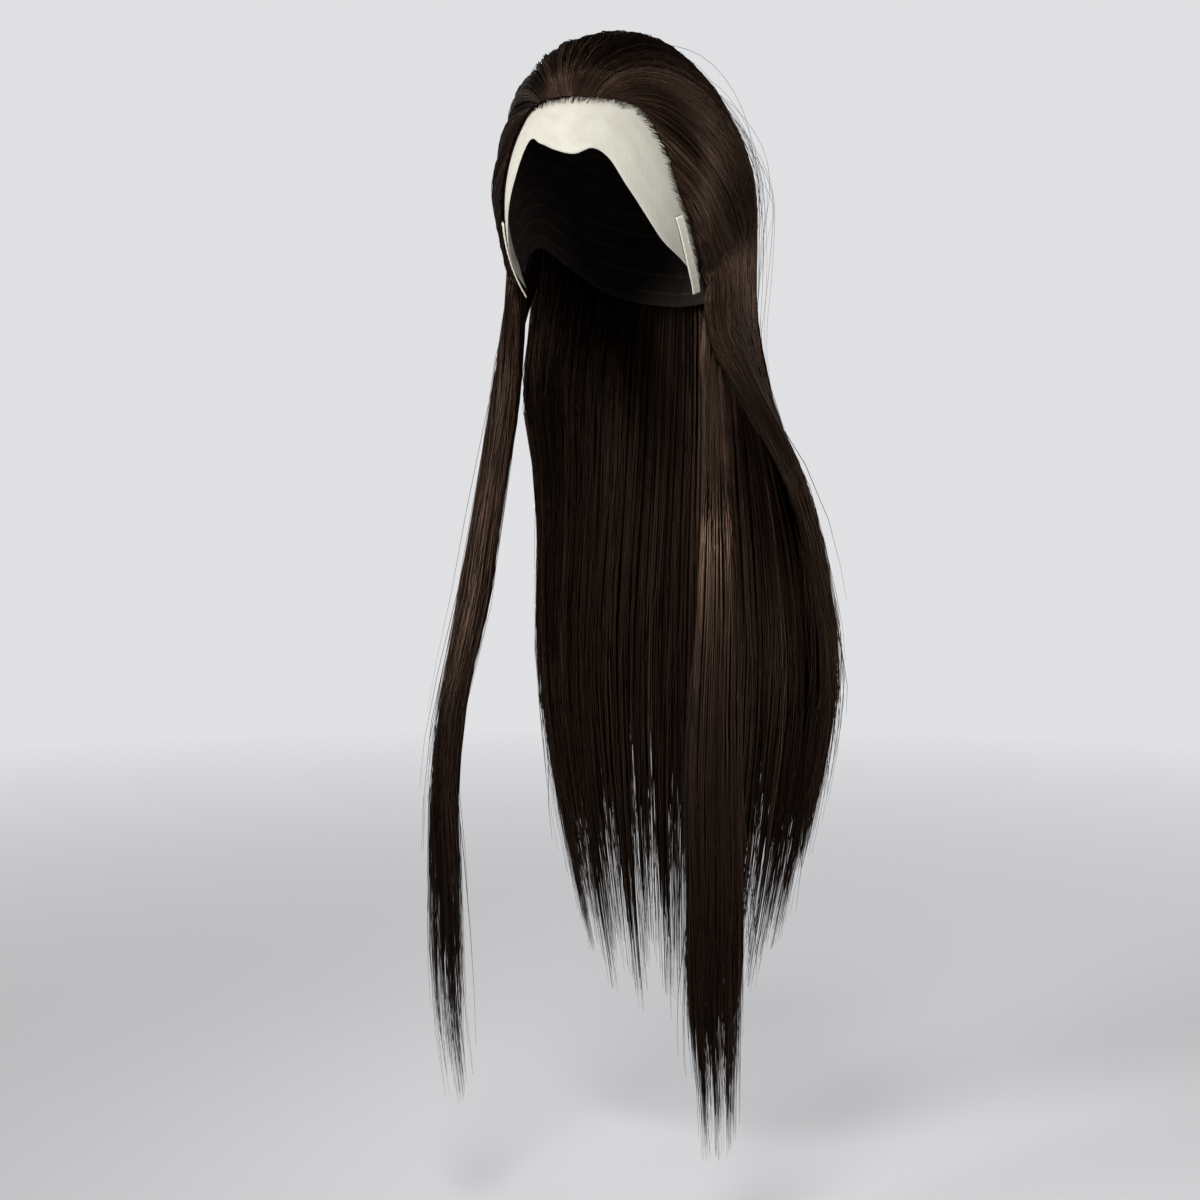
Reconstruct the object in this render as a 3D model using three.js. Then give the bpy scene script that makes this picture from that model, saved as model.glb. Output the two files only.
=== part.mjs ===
// A long, straight, dark brown lace-front wig, in the shape that it has when worn.
// Millimetres, +Z up. The front faces -Y and the wearer's left is +X. The origin is the inside of the
// crown, where the top of the head bears.
// A place on the head is a bearing, in degrees round from the front towards the wearer's left, and a
// dip, in degrees down from the crown. A drop is a distance below the crown.
import * as THREE from 'three';
import { mergeVertices } from 'three/addons/utils/BufferGeometryUtils.js';

// Driving dimensions
const HEAD = { halfWidth: 80, front: 96, back: 100, height: 115, sideSlope: 18, backSlope: 22 };
const CAP_WALL = 1.2;
const LACE_WALL = 1.0;
const TAB = { width: 5.5, wall: 1.0, lift: 1.9 };
const GAP = 0.4;
const SEAM = 0.5;
const CAP_COLUMN = 5;
const FALL_LIFT = CAP_WALL + 5 * GAP;
const LOCK_LIFT = CAP_WALL + GAP;
const ROOT_DEPTH = 0.9;
const TIP_DEPTH = 0.9;
const STAND_OFF = 0.985;

// The edge of the cap: back from the hairline over the forehead, down to the tab before the ear, over the
// ear and down to the nape. Both sides are alike.
const CAP_EDGE = [
  { bearing: 0, dip: 41 },
  { bearing: 25, dip: 42 },
  { bearing: 42, dip: 47 },
  { bearing: 52, dip: 57 },
  { bearing: 60, dip: 76 },
  { bearing: 67, dip: 95 },
  { bearing: 74, dip: 108 },
  { bearing: 80, dip: 112 },
  { bearing: 89, dip: 105 },
  { bearing: 100, dip: 102 },
  { bearing: 114, dip: 108 },
  { bearing: 132, dip: 117 },
  { bearing: 156, dip: 123 },
  { bearing: 180, dip: 125 },
];

// The wavy cut edge of the lace, from the right tab over the forehead to the left tab
const LACE_EDGE = [
  { bearing: -75, dip: 118 },
  { bearing: -63, dip: 111 },
  { bearing: -51, dip: 104 },
  { bearing: -42, dip: 93 },
  { bearing: -33, dip: 81 },
  { bearing: -25, dip: 68.5 },
  { bearing: -14, dip: 70 },
  { bearing: -3, dip: 73 },
  { bearing: 8, dip: 74.5 },
  { bearing: 17, dip: 72.5 },
  { bearing: 25, dip: 76 },
  { bearing: 33, dip: 85 },
  { bearing: 42, dip: 95 },
  { bearing: 50, dip: 103 },
  { bearing: 62, dip: 110 },
  { bearing: 75, dip: 118 },
];

// The line that each ear tab follows, from the temple to its free end
const TAB_LINE = [
  { along: 0, bearing: 57.5, dip: 95 },
  { along: 0.5, bearing: 65, dip: 109 },
  { along: 1, bearing: 74, dip: 121 },
];

// How the hair is combed. Across is 0 at the middle of the forehead and 1 at the lower end of the hairline
// before the ear. A strand starts at its root on the hairline, is drawn over its crest and then starts to
// fall: the bearing and the dip of each of the three places.
const COMBING = [
  { across: 0.0, root: 0, rootDip: 52.5, crest: 180, crestDip: 40, fall: 180, fallDip: 96 },
  { across: 0.2, root: 17, rootDip: 53, crest: 146, crestDip: 31, fall: 160, fallDip: 96 },
  { across: 0.4, root: 36, rootDip: 54.5, crest: 121, crestDip: 40, fall: 136, fallDip: 96 },
  { across: 0.52, root: 48, rootDip: 62, crest: 110, crestDip: 55, fall: 119, fallDip: 97 },
  { across: 0.62, root: 54, rootDip: 74, crest: 99, crestDip: 70, fall: 106, fallDip: 99 },
  { across: 0.76, root: 59, rootDip: 88, crest: 89, crestDip: 87, fall: 94, fallDip: 104 },
  { across: 0.9, root: 66.5, rootDip: 102, crest: 82.5, crestDip: 103, fall: 85, fallDip: 112 },
  { across: 1.0, root: 74, rootDip: 113, crest: 77, crestDip: 115, fall: 78, fallDip: 119 },
];

// The inside of the fall of hair below the head: where its right edge, the middle of the back and its left
// edge are at each drop. It goes behind the shoulders and lies on the back.
const BACK_FALL = [
  { drop: 125, rightX: -81, rightY: 9, middleY: 102, leftX: 79, leftY: -19 },
  { drop: 170, rightX: -84, rightY: 10, middleY: 105, leftX: 79, leftY: -20 },
  { drop: 205, rightX: -87, rightY: 12, middleY: 107, leftX: 80, leftY: -20 },
  { drop: 250, rightX: -92, rightY: 20, middleY: 107, leftX: 87, leftY: 10 },
  { drop: 312, rightX: -97, rightY: 52, middleY: 103, leftX: 100, leftY: 60 },
  { drop: 380, rightX: -108, rightY: 70, middleY: 99, leftX: 112, leftY: 77 },
  { drop: 450, rightX: -114, rightY: 80, middleY: 98, leftX: 119, leftY: 86 },
  { drop: 530, rightX: -106, rightY: 84, middleY: 96, leftX: 110, leftY: 88 },
  { drop: 600, rightX: -94, rightY: 86, middleY: 95, leftX: 97, leftY: 89 },
  { drop: 660, rightX: -82, rightY: 88, middleY: 95, leftX: 84, leftY: 90 },
  { drop: 730, rightX: -66, rightY: 90, middleY: 95, leftX: 68, leftY: 91 },
];

// The middle of each front lock, its half width, and the way that its width points, in degrees from +X
// towards +Y. The left lock has its depth as well.
const RIGHT_LOCK = [
  { drop: 140, x: -80, y: -4, halfWidth: 14.5, facing: -86 },
  { drop: 178, x: -81, y: -11, halfWidth: 13.5, facing: -76 },
  { drop: 215, x: -81, y: -18, halfWidth: 13.5, facing: -57 },
  { drop: 249, x: -80, y: -24.5, halfWidth: 14.5, facing: -42 },
  { drop: 285, x: -79.5, y: -33, halfWidth: 13.5, facing: -36 },
  { drop: 321, x: -82, y: -43, halfWidth: 12.5, facing: -32 },
  { drop: 392, x: -84, y: -60, halfWidth: 13.5, facing: -30 },
  { drop: 461, x: -92, y: -78, halfWidth: 8, facing: -28 },
  { drop: 504, x: -96, y: -84, halfWidth: 7.5, facing: -27 },
  { drop: 569, x: -97, y: -84, halfWidth: 14, facing: -26 },
  { drop: 642, x: -99, y: -82, halfWidth: 16.5, facing: -24 },
  { drop: 708, x: -98, y: -80, halfWidth: 14, facing: -22 },
  { drop: 770, x: -91, y: -78, halfWidth: 12, facing: -22 },
];
const LEFT_LOCK = [
  { drop: 143.4, x: 77.4, y: 8, halfWidth: 6, facing: 86, depth: 2.2 },
  { drop: 165, x: 73, y: 5, halfWidth: 8, facing: 76, depth: 5 },
  { drop: 208, x: 70, y: -4, halfWidth: 8, facing: 58, depth: 8 },
  { drop: 249, x: 79, y: -17, halfWidth: 8, facing: 42, depth: 10 },
  { drop: 283, x: 90, y: -36, halfWidth: 9.5, facing: 34, depth: 12 },
  { drop: 316, x: 98, y: -51, halfWidth: 10.5, facing: 30, depth: 13 },
  { drop: 383, x: 104, y: -60, halfWidth: 14.5, facing: 28, depth: 13 },
  { drop: 450, x: 105, y: -66, halfWidth: 16.5, facing: 28, depth: 13 },
  { drop: 519, x: 104, y: -66, halfWidth: 18.5, facing: 28, depth: 12 },
  { drop: 588, x: 104, y: -64, halfWidth: 18.5, facing: 28, depth: 11 },
  { drop: 658, x: 102, y: -62, halfWidth: 17, facing: 28, depth: 9 },
  { drop: 714, x: 103, y: -60, halfWidth: 14, facing: 28, depth: 7 },
  { drop: 780, x: 105, y: -60, halfWidth: 11, facing: 28, depth: 5 },
];

// How deep the hair is at each distance from its roots on the head, how much fuller it is across the head,
// and the share of its depth that is left towards the tips
const HAIR_DEPTH = [
  { run: 0, depth: 0.9 },
  { run: 14, depth: 5 },
  { run: 40, depth: 7 },
  { run: 75, depth: 6.5 },
  { run: 130, depth: 5 },
  { run: 200, depth: 4.5 },
  { run: 330, depth: 6 },
  { run: 1100, depth: 8 },
];
const FALL_DEPTH = 13.5;
const FULLNESS = [
  { across: -1, times: 2.4 },
  { across: -0.75, times: 2.2 },
  { across: -0.4, times: 2 },
  { across: -0.1, times: 1.2 },
  { across: 0.2, times: 1 },
  { across: 1, times: 1.3 },
];
const TIP_SHARE = [
  { along: 1, share: 1 },
  { along: 1.4, share: 1 },
  { along: 1.68, share: 0.76 },
  { along: 1.87, share: 0.42 },
  { along: 2, share: 0.14 },
];

// The locks of each piece of hair: how many, how far their tips hang below the notches between them, and
// how many columns of faces each one has
const FALL_LOCKS = { first: -0.74, last: 1, count: 9, notch: 95, columns: 6 };
const RIGHT_LOCKS = { first: -1, last: -0.75, count: 3, notch: 90, columns: 4 };
const LEFT_LOCKS = { first: -1, last: 1, count: 3, notch: 90, columns: 4 };
const CROWN_ROWS = 12;
const FALL_ROWS = 16;
const LEFT_LOCK_ROWS = 20;

// How far the tips reach: the back is cut to a shallow point, and the front locks nearly level
const BACK_TIP = { middle: 725, edge: 548 };
const RIGHT_TIP = 756;
const LEFT_TIP = 774;

const radians = THREE.MathUtils.degToRad;
const { lerp, smoothstep } = THREE.MathUtils;

// A table as a function: a smooth curve through its rows, read at any value of the first column.
function tabled(rows) {
  const [by, ...others] = Object.keys(rows[0]);
  const places = rows.map((row) => row[by]);
  const values = rows.flatMap((row) => others.map((name) => row[name]));
  const curve = new THREE.CubicInterpolant(places, values, others.length);
  return (place) => {
    const held = THREE.MathUtils.clamp(place, places[0], places.at(-1));
    const found = curve.evaluate(held);
    return Object.fromEntries(others.map((name, k) => [name, found[k]]));
  };
}

const capEdge = tabled(CAP_EDGE);
const laceEdge = tabled(LACE_EDGE);
const tabLine = tabled(TAB_LINE);
const combing = tabled(COMBING);
const backFall = tabled(BACK_FALL);
const rightLock = tabled(RIGHT_LOCK);
const leftLock = tabled(LEFT_LOCK);
const hairDepth = tabled(HAIR_DEPTH);
const fullness = tabled(FULLNESS);
const tipShare = tabled(TIP_SHARE);

// The unit direction of a bearing and a dip.
function direction(bearing, dip) {
  const round = radians(bearing);
  const down = radians(dip);
  const level = Math.sin(down);
  return new THREE.Vector3(level * Math.sin(round), -level * Math.cos(round), Math.cos(down));
}

// The point that far above the head in a direction from its middle. The top of the head slopes away to the
// sides and the back.
function aboveHead(way, lift) {
  const depth = way.y < 0 ? HEAD.front : HEAD.back;
  const slope = HEAD.sideSlope * way.x ** 2 + HEAD.backSlope * Math.max(way.y, 0) ** 2;
  const height = way.z > 0 ? HEAD.height - slope : HEAD.height;
  return new THREE.Vector3(
    way.x * (HEAD.halfWidth + lift),
    way.y * (depth + lift),
    way.z * (height + lift) - HEAD.height,
  );
}

// A closed wall between an outer and an inner surface, each a function of two shares from 0 to 1. A joined
// wall meets itself along its first and last columns.
function wall({ columns, rows, outer, inner, joined = false }) {
  const points = [];
  for (const surface of [outer, inner]) {
    for (let row = 0; row <= rows; row++) {
      for (let column = 0; column <= columns; column++) {
        points.push(...surface(column / columns, row / rows).toArray());
      }
    }
  }
  const layer = (columns + 1) * (rows + 1);
  const out = (column, row) => row * (columns + 1) + column;
  const into = (column, row) => layer + out(column, row);
  const faces = [];
  const quad = (a, b, c, d) => faces.push(a, b, c, a, c, d);
  for (let row = 0; row < rows; row++) {
    for (let column = 0; column < columns; column++) {
      quad(out(column, row), out(column, row + 1), out(column + 1, row + 1), out(column + 1, row));
      quad(into(column, row), into(column + 1, row), into(column + 1, row + 1), into(column, row + 1));
    }
  }
  for (let column = 0; column < columns; column++) {
    quad(out(column, 0), out(column + 1, 0), into(column + 1, 0), into(column, 0));
    quad(out(column, rows), into(column, rows), into(column + 1, rows), out(column + 1, rows));
  }
  for (let row = 0; row < rows && !joined; row++) {
    quad(out(0, row), into(0, row), into(0, row + 1), out(0, row + 1));
    quad(out(columns, row), out(columns, row + 1), into(columns, row + 1), into(columns, row));
  }
  return closed(points, faces);
}

// The geometry of a closed body: like points are joined, faces that this leaves with no width are dropped,
// and all faces are turned outwards.
function closed(points, faces) {
  const loose = new THREE.BufferGeometry();
  loose.setAttribute('position', new THREE.Float32BufferAttribute(points, 3));
  loose.setIndex(faces);
  const body = mergeVertices(loose, 0.01);
  const joined = Array.from(body.index.array);
  const kept = [];
  for (let k = 0; k < joined.length; k += 3) {
    const [a, b, c] = joined.slice(k, k + 3);
    if (a !== b && b !== c && c !== a) kept.push(a, b, c);
  }
  if (volumeOf(body, kept) < 0) kept.reverse();
  body.setIndex(kept);
  body.computeVertexNormals();
  return body;
}

function volumeOf(body, faces) {
  const [a, b, c] = [new THREE.Vector3(), new THREE.Vector3(), new THREE.Vector3()];
  const places = body.attributes.position;
  let six = 0;
  for (let k = 0; k < faces.length; k += 3) {
    a.fromBufferAttribute(places, faces[k]);
    b.fromBufferAttribute(places, faces[k + 1]);
    c.fromBufferAttribute(places, faces[k + 2]);
    six += a.dot(b.cross(c));
  }
  return six / 6;
}

// The cap: a dome from the crown to its edge.
function capShape() {
  const at = (round, down, lift) => {
    const bearing = 360 * round - 180;
    return aboveHead(direction(bearing, down * capEdge(Math.abs(bearing)).dip), lift);
  };
  return wall({
    columns: 360 / CAP_COLUMN,
    rows: 6,
    outer: (round, down) => at(round, down, CAP_WALL),
    inner: (round, down) => at(round, down, 0),
    joined: true,
  });
}

// The lace: from the front edge of the cap, column for column, to its own cut edge.
function laceShape() {
  const reach = LACE_EDGE.at(-1).bearing;
  const seam = 0.8;
  const at = (round, across, lift) => {
    const bearing = lerp(-reach, reach, round);
    const back = capEdge(Math.abs(bearing)).dip + seam;
    return aboveHead(direction(bearing, lerp(back, laceEdge(bearing).dip, across)), lift);
  };
  return wall({
    columns: (2 * reach) / CAP_COLUMN,
    rows: 6,
    outer: (round, across) => at(round, across, LACE_WALL),
    inner: (round, across) => at(round, across, 0),
  });
}

// An ear tab on one side, 1 for the left and -1 for the right: a ribbon that lies on the lace.
function earTabShape(side) {
  const middle = (along) => {
    const { bearing, dip } = tabLine(along);
    return direction(side * bearing, dip);
  };
  const at = (across, along, lift) => {
    const here = aboveHead(middle(along), lift);
    const ahead = aboveHead(middle(along + 0.01), lift).sub(aboveHead(middle(along - 0.01), lift));
    const outwards = here.clone().sub(new THREE.Vector3(0, 0, -HEAD.height));
    const sideways = ahead.cross(outwards).normalize();
    return here.addScaledVector(sideways, (across - 0.5) * TAB.width);
  };
  return wall({
    columns: 2,
    rows: 8,
    outer: (across, along) => at(across, along, TAB.lift + TAB.wall),
    inner: (across, along) => at(across, along, TAB.lift),
  });
}

// The path of a strand over the head, along from 0 at its root to 1 where it falls. Across is from -1 at
// the lower end of the right hairline to 1 at the lower end of the left one. Towards its fall, hair stands
// off where the head turns in under it.
function overHead(lift, across, along) {
  const side = Math.sign(across) || 1;
  const row = combing(Math.abs(across));
  const root = direction(side * row.root, row.rootDip);
  const crest = direction(side * row.crest, row.crestDip);
  const fall = direction(side * row.fall, row.fallDip);
  const reach = root.z < 0 ? lerp(Math.hypot(root.x, root.y), STAND_OFF, 0.6) : STAND_OFF;
  const way = root.multiplyScalar((1 - along) ** 2);
  way.addScaledVector(crest, 2 * along * (1 - along)).addScaledVector(fall, along ** 2);
  way.normalize();
  const stand = Math.max(1, reach / Math.hypot(way.x, way.y));
  const widen = way.z < 0 ? lerp(1, stand, along ** 2) : 1;
  way.x *= widen;
  way.y *= widen;
  return aboveHead(way, lift);
}

// The inside of the back fall at a drop: a quarter ellipse from the middle of the back to each edge.
function inBackFall(across, drop) {
  const row = backFall(drop);
  const first = FALL_LOCKS.first;
  const share = across < 0 ? across / first : across;
  const turn = (Math.PI / 2) * share;
  const [edgeX, edgeY] = across < 0 ? [row.rightX, row.rightY] : [row.leftX, row.leftY];
  return new THREE.Vector3(
    edgeX * Math.sin(turn),
    row.middleY + (edgeY - row.middleY) * (1 - Math.cos(turn)),
    -drop,
  );
}

// A point on the middle of a front lock, with its share of the half width from -1 to 1.
function inLock(lock, share, drop) {
  const row = lock(drop);
  const facing = radians(row.facing);
  return new THREE.Vector3(
    row.x + share * row.halfWidth * Math.cos(facing),
    row.y + share * row.halfWidth * Math.sin(facing),
    -drop,
  );
}

// Which lock a place across a piece of hair is in: its share across that lock, from 0 to 1.
function withinLock(locks, across) {
  const place = ((across - locks.first) / (locks.last - locks.first)) * locks.count;
  const number = Math.min(Math.floor(place + 1e-6), locks.count - 1);
  return THREE.MathUtils.clamp(place - number, 0, 1);
}

// 1 along the middle of a lock and 0 along the lines between locks.
function crestOf(locks, across) {
  return 1 - (2 * withinLock(locks, across) - 1) ** 2;
}

// How much less far down the hair reaches between the middles of the locks, which draw apart at their tips.
function notchOf(locks, across, fallen) {
  const off = Math.abs(2 * withinLock(locks, across) - 1);
  return locks.notch * off ** 1.4 * smoothstep(fallen, 0.45, 1);
}

// A strand from its root over the head and down its fall. Along is 1 where it starts to fall and 2 at its
// tip. A fall that is a piece of its own starts a little apart from the hair on the head.
function strand(style, across, along) {
  if (along < 1) return overHead(style.lift, across, along);
  const start = overHead(style.lift, across, 1);
  const fallen = along - 1;
  const level = lerp(style.apart - start.z, style.reach(across), fallen);
  const drop = level - notchOf(style.locks, across, fallen);
  const settling = 1 - smoothstep(drop, -start.z, -start.z + 120);
  const first = style.fallen(across, -start.z);
  const point = style.fallen(across, drop);
  point.x += (start.x - first.x) * settling;
  point.y += (start.y - first.y) * settling;
  return point;
}

// How far a place on a strand is from its root, measured along it.
function runOf(style, across, along) {
  const steps = 12;
  let run = 0;
  let before = strand(style, across, 0);
  for (let step = 1; step <= steps; step++) {
    const here = strand(style, across, (along * step) / steps);
    run += here.distanceTo(before);
    before = here;
  }
  return run;
}

// The way out of a surface at a place, away from the line through the middle of the head.
function outOf(surface, locks, across, along) {
  const step = 0.004;
  const sideways = surface(Math.min(across + step, locks.last), along);
  sideways.sub(surface(Math.max(across - step, locks.first), along));
  const onwards = surface(across, Math.min(along + step, 2));
  onwards.sub(surface(across, Math.max(along - step, 0)));
  const out = sideways.cross(onwards).normalize();
  const here = surface(across, along);
  const away = new THREE.Vector3(here.x, here.y, Math.max(here.z + HEAD.height, 0));
  return out.dot(away) < 0 ? out.negate() : out;
}

// A sheet of combed hair: its inside follows the strands, and its outside stands off by its depth, which
// swells along each lock and thins at the roots, the tips and the side edges.
function combedHair(style) {
  const { locks, stops } = style;
  const rows = stops.length - 1;
  const alongOf = (share) => stops[Math.round(share * rows)];
  const acrossOf = (share) => lerp(locks.first, locks.last, share);
  const inside = (across, along) => strand(style, across, along);
  const depth = (share, across, along) => {
    const onHead = hairDepth(runOf(style, across, along)).depth * fullness(across).times;
    const full = lerp(onHead, FALL_DEPTH, smoothstep(along, 0.9, 1.35)) * tipShare(along).share;
    const ridge = lerp(0.16, 0.42, along / 2);
    const edge = smoothstep(Math.min(share, 1 - share), -0.03, 0.04);
    const swell = 1 - ridge + ridge * crestOf(locks, across);
    return Math.max(full * swell * edge, ROOT_DEPTH);
  };
  return wall({
    columns: locks.count * locks.columns,
    rows,
    inner: (share, down) => inside(acrossOf(share), alongOf(down)),
    outer: (share, down) => {
      const [across, along] = [acrossOf(share), alongOf(down)];
      const out = outOf(inside, locks, across, along);
      return inside(across, along).addScaledVector(out, depth(share, across, along));
    },
  });
}

// The stops along a strand where the rows of faces are: on the head, and down the fall
const ON_HEAD = Array.from({ length: CROWN_ROWS + 1 }, (_, row) => row / CROWN_ROWS);
const IN_FALL = Array.from({ length: FALL_ROWS + 1 }, (_, row) => 1 + row / FALL_ROWS);

// The hair on the head, and the fall of it behind the shoulders.
const backReach = (across) => lerp(BACK_TIP.middle, BACK_TIP.edge, Math.abs(across) ** 3);
const sweptBack = { locks: FALL_LOCKS, lift: FALL_LIFT, fallen: inBackFall, reach: backReach };

function crownHairShape() {
  return combedHair({ ...sweptBack, stops: ON_HEAD, apart: 0 });
}

function backHairShape() {
  return combedHair({ ...sweptBack, stops: IN_FALL, apart: SEAM });
}

// The right front lock: the hair of the right temple, which falls before the shoulder.
function rightLockShape() {
  const { first, last } = RIGHT_LOCKS;
  const fallen = (across, drop) => inLock(rightLock, 1 - (2 * (across - first)) / (last - first), drop);
  const stops = [...ON_HEAD, ...IN_FALL.slice(1)];
  return combedHair({ locks: RIGHT_LOCKS, lift: LOCK_LIFT, fallen, reach: () => RIGHT_TIP, stops, apart: 0 });
}

// The left front lock: it hangs from the edge of the cap by the ear, inside the hair that passes over it.
function leftLockShape() {
  const at = (share, down, side) => {
    const across = 2 * share - 1;
    const drop = lerp(LEFT_LOCK[0].drop, LEFT_TIP, down) - notchOf(LEFT_LOCKS, across, down);
    const row = leftLock(drop);
    const facing = radians(row.facing);
    const swell = 0.7 + 0.3 * crestOf(LEFT_LOCKS, across);
    const thin = 1 - smoothstep(down, 0.75, 1);
    const depth = Math.max(row.depth * swell * Math.sqrt(1 - 0.92 * across ** 2) * thin, TIP_DEPTH);
    const point = inLock(leftLock, across, drop);
    point.x += (side * Math.sin(facing) * depth) / 2;
    point.y -= (side * Math.cos(facing) * depth) / 2;
    return point;
  };
  return wall({
    columns: LEFT_LOCKS.count * LEFT_LOCKS.columns,
    rows: LEFT_LOCK_ROWS,
    outer: (share, down) => at(share, down, 1),
    inner: (share, down) => at(share, down, -1),
  });
}

// Materials
const hair = new THREE.MeshStandardMaterial({ color: 0x2a1b16, roughness: 0.38, metalness: 0 });
const net = new THREE.MeshStandardMaterial({ color: 0x1c1614, roughness: 0.9, metalness: 0 });
const lace = new THREE.MeshStandardMaterial({ color: 0xd8d2c2, roughness: 0.85, metalness: 0 });
const ribbon = new THREE.MeshStandardMaterial({ color: 0xcfc8b8, roughness: 0.8, metalness: 0 });

function piece(name, shape, material) {
  const mesh = new THREE.Mesh(shape, material);
  mesh.name = name;
  return mesh;
}

const wig = new THREE.Group();
wig.add(
  piece('cap', capShape(), net),
  piece('lace_front', laceShape(), lace),
  piece('ear_tab_left', earTabShape(1), ribbon),
  piece('ear_tab_right', earTabShape(-1), ribbon),
  piece('crown_hair', crownHairShape(), hair),
  piece('back_hair', backHairShape(), hair),
  piece('front_lock_left', leftLockShape(), hair),
  piece('front_lock_right', rightLockShape(), hair),
);

export default wig;
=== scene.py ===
# The looks of a long, straight, dark brown lace-front wig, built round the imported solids.
# The shapes are worked out in millimetres, as in the part's source, and become metres in the meshes.
# +Z is up, the front faces -Y and the wearer's left is +X. The origin is the inside of the crown.
import math

import bmesh
import bpy
import numpy as np
from mathutils import Matrix, Vector


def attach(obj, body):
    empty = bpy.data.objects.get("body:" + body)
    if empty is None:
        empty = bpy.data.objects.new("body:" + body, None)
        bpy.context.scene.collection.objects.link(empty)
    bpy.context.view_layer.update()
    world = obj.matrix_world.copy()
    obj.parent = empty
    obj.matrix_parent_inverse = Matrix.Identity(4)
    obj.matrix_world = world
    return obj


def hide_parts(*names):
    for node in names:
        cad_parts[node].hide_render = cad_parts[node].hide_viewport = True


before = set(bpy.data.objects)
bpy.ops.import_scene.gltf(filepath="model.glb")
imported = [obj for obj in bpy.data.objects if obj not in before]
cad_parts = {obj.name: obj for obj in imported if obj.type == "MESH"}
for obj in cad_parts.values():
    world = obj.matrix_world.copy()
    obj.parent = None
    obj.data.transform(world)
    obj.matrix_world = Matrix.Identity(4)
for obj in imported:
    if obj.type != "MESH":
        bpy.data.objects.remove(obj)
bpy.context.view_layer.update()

MM = 0.001

# Head and cloth: the driving sizes, in millimetres, degrees and shares of a length
HEAD = {"half_width": 80, "front": 96, "back": 100, "height": 115, "side_slope": 18, "back_slope": 22}
CAP = {"inside": 0.1, "outside": 1.1, "columns": 144, "rows": 30}
LACE = {"inside": 0.3, "outside": 0.7, "reach": 75, "seam": 0.2, "columns": 120, "rows": 36}
TAB = {"width": 5.5, "inside": 1.95, "outside": 2.85, "columns": 6, "rows": 40, "step": 0.01}
STITCH = {"rows": (0.16, 0.84), "ends": (0.03, 0.97), "steps": 24, "count": 14, "length": 2.2, "wide": 0.36}
# Hair: how far its inside lies above the head, where it stands off it, and how it falls, thins and ends
FALL_LIFT = 3.2
LOCK_LIFT = 1.6
LACE_TOP = 0.8
THIN = 0.9
STAND = {"off": 0.985, "low_root": 0.6, "edge": (0.92, 1)}
FALL = {"depth": 13.5, "least": 2, "grows": 0.2, "from": (0.9, 1.35), "settles": 120}
FALL_LOCKS = {"first": -0.74, "last": 1, "count": 9, "notch": 60, "columns": 36, "rows": 120}
RIGHT_LOCKS = {"first": -1, "last": -0.75, "count": 3, "notch": 50, "columns": 16, "rows": 120}
LEFT_LOCKS = {"first": -1, "last": 1, "count": 3, "notch": 50, "columns": 12, "rows": 80}
HANG = {"ridge": 0.3, "round": 0.92, "thins": (0.75, 1), "rooted": 100.0}
COMB = {"ridges": (0.1, 0.42), "side": (-0.03, 0.04), "sides_from": (1.0, 1.2), "sinks": (0, 16)}
NOTCH = {"point": 1.4, "from": (0.45, 1)}
BACK_TIP = {"middle": 725, "edge": 548, "round": 3}
RIGHT_TIP = 756
LEFT_TIP = 774
HAIRLINE = {"near": 241, "even": 401}


class Table:
    """Rows of numbers with named columns, read as smooth curves along the first column."""

    def __init__(self, names, rows):
        table = np.array(rows, float)
        self.names = names.split()[1:]
        self.places = table[:, 0]
        self.values = table[:, 1:]
        slopes = np.diff(self.values, axis=0) / np.diff(self.places)[:, None]
        self.slopes = np.vstack([slopes[:1], (slopes[1:] + slopes[:-1]) / 2, slopes[-1:]])

    def at(self, place):
        held = np.clip(place, self.places[0], self.places[-1])
        low = np.clip(np.searchsorted(self.places, held, side="right") - 1, 0, len(self.places) - 2)
        step = self.places[low + 1] - self.places[low]
        share = ((held - self.places[low]) / step)[..., None]
        rise = step[..., None]
        value = (
            self.values[low] * (1 + 2 * share) * (1 - share) ** 2
            + self.slopes[low] * rise * share * (1 - share) ** 2
            + self.values[low + 1] * share**2 * (3 - 2 * share)
            + self.slopes[low + 1] * rise * share**2 * (share - 1)
        )
        return {name: value[..., k] for k, name in enumerate(self.names)}


# Places on the head are a bearing, in degrees round from the front towards the left, and a dip, in degrees
# down from the crown. A drop is a distance below the crown.
CAP_EDGE = Table("bearing dip", [
    (0, 41), (25, 42), (42, 47), (52, 57), (60, 76), (67, 95), (74, 108), (80, 112),
    (89, 105), (100, 102), (114, 108), (132, 117), (156, 123), (180, 125),
])
LACE_EDGE = Table("bearing dip", [
    (-75, 118), (-63, 111), (-51, 104), (-42, 93), (-33, 81), (-25, 68.5), (-14, 70), (-3, 73),
    (8, 74.5), (17, 72.5), (25, 76), (33, 85), (42, 95), (50, 103), (62, 110), (75, 118),
])
TAB_LINE = Table("along bearing dip", [(0, 57.5, 95), (0.5, 65, 109), (1, 74, 121)])
COMBING = Table("across root root_dip crest crest_dip fall fall_dip", [
    (0.0, 0, 52.5, 180, 40, 180, 96),
    (0.216, 4, 52.5, 126, 22, 158, 96),
    (0.422, 10, 52.7, 88, 26, 137, 97),
    (0.618, 19, 53, 66, 36, 117, 98),
    (0.755, 31, 53.8, 59, 50, 103, 101),
    (0.853, 43, 57.5, 60, 67, 93, 105),
    (0.922, 53, 72, 66, 86, 86, 110),
    (0.966, 59.5, 89, 71, 101, 81.5, 115),
    (1.0, 74, 113, 76, 116, 78, 119),
])
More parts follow.
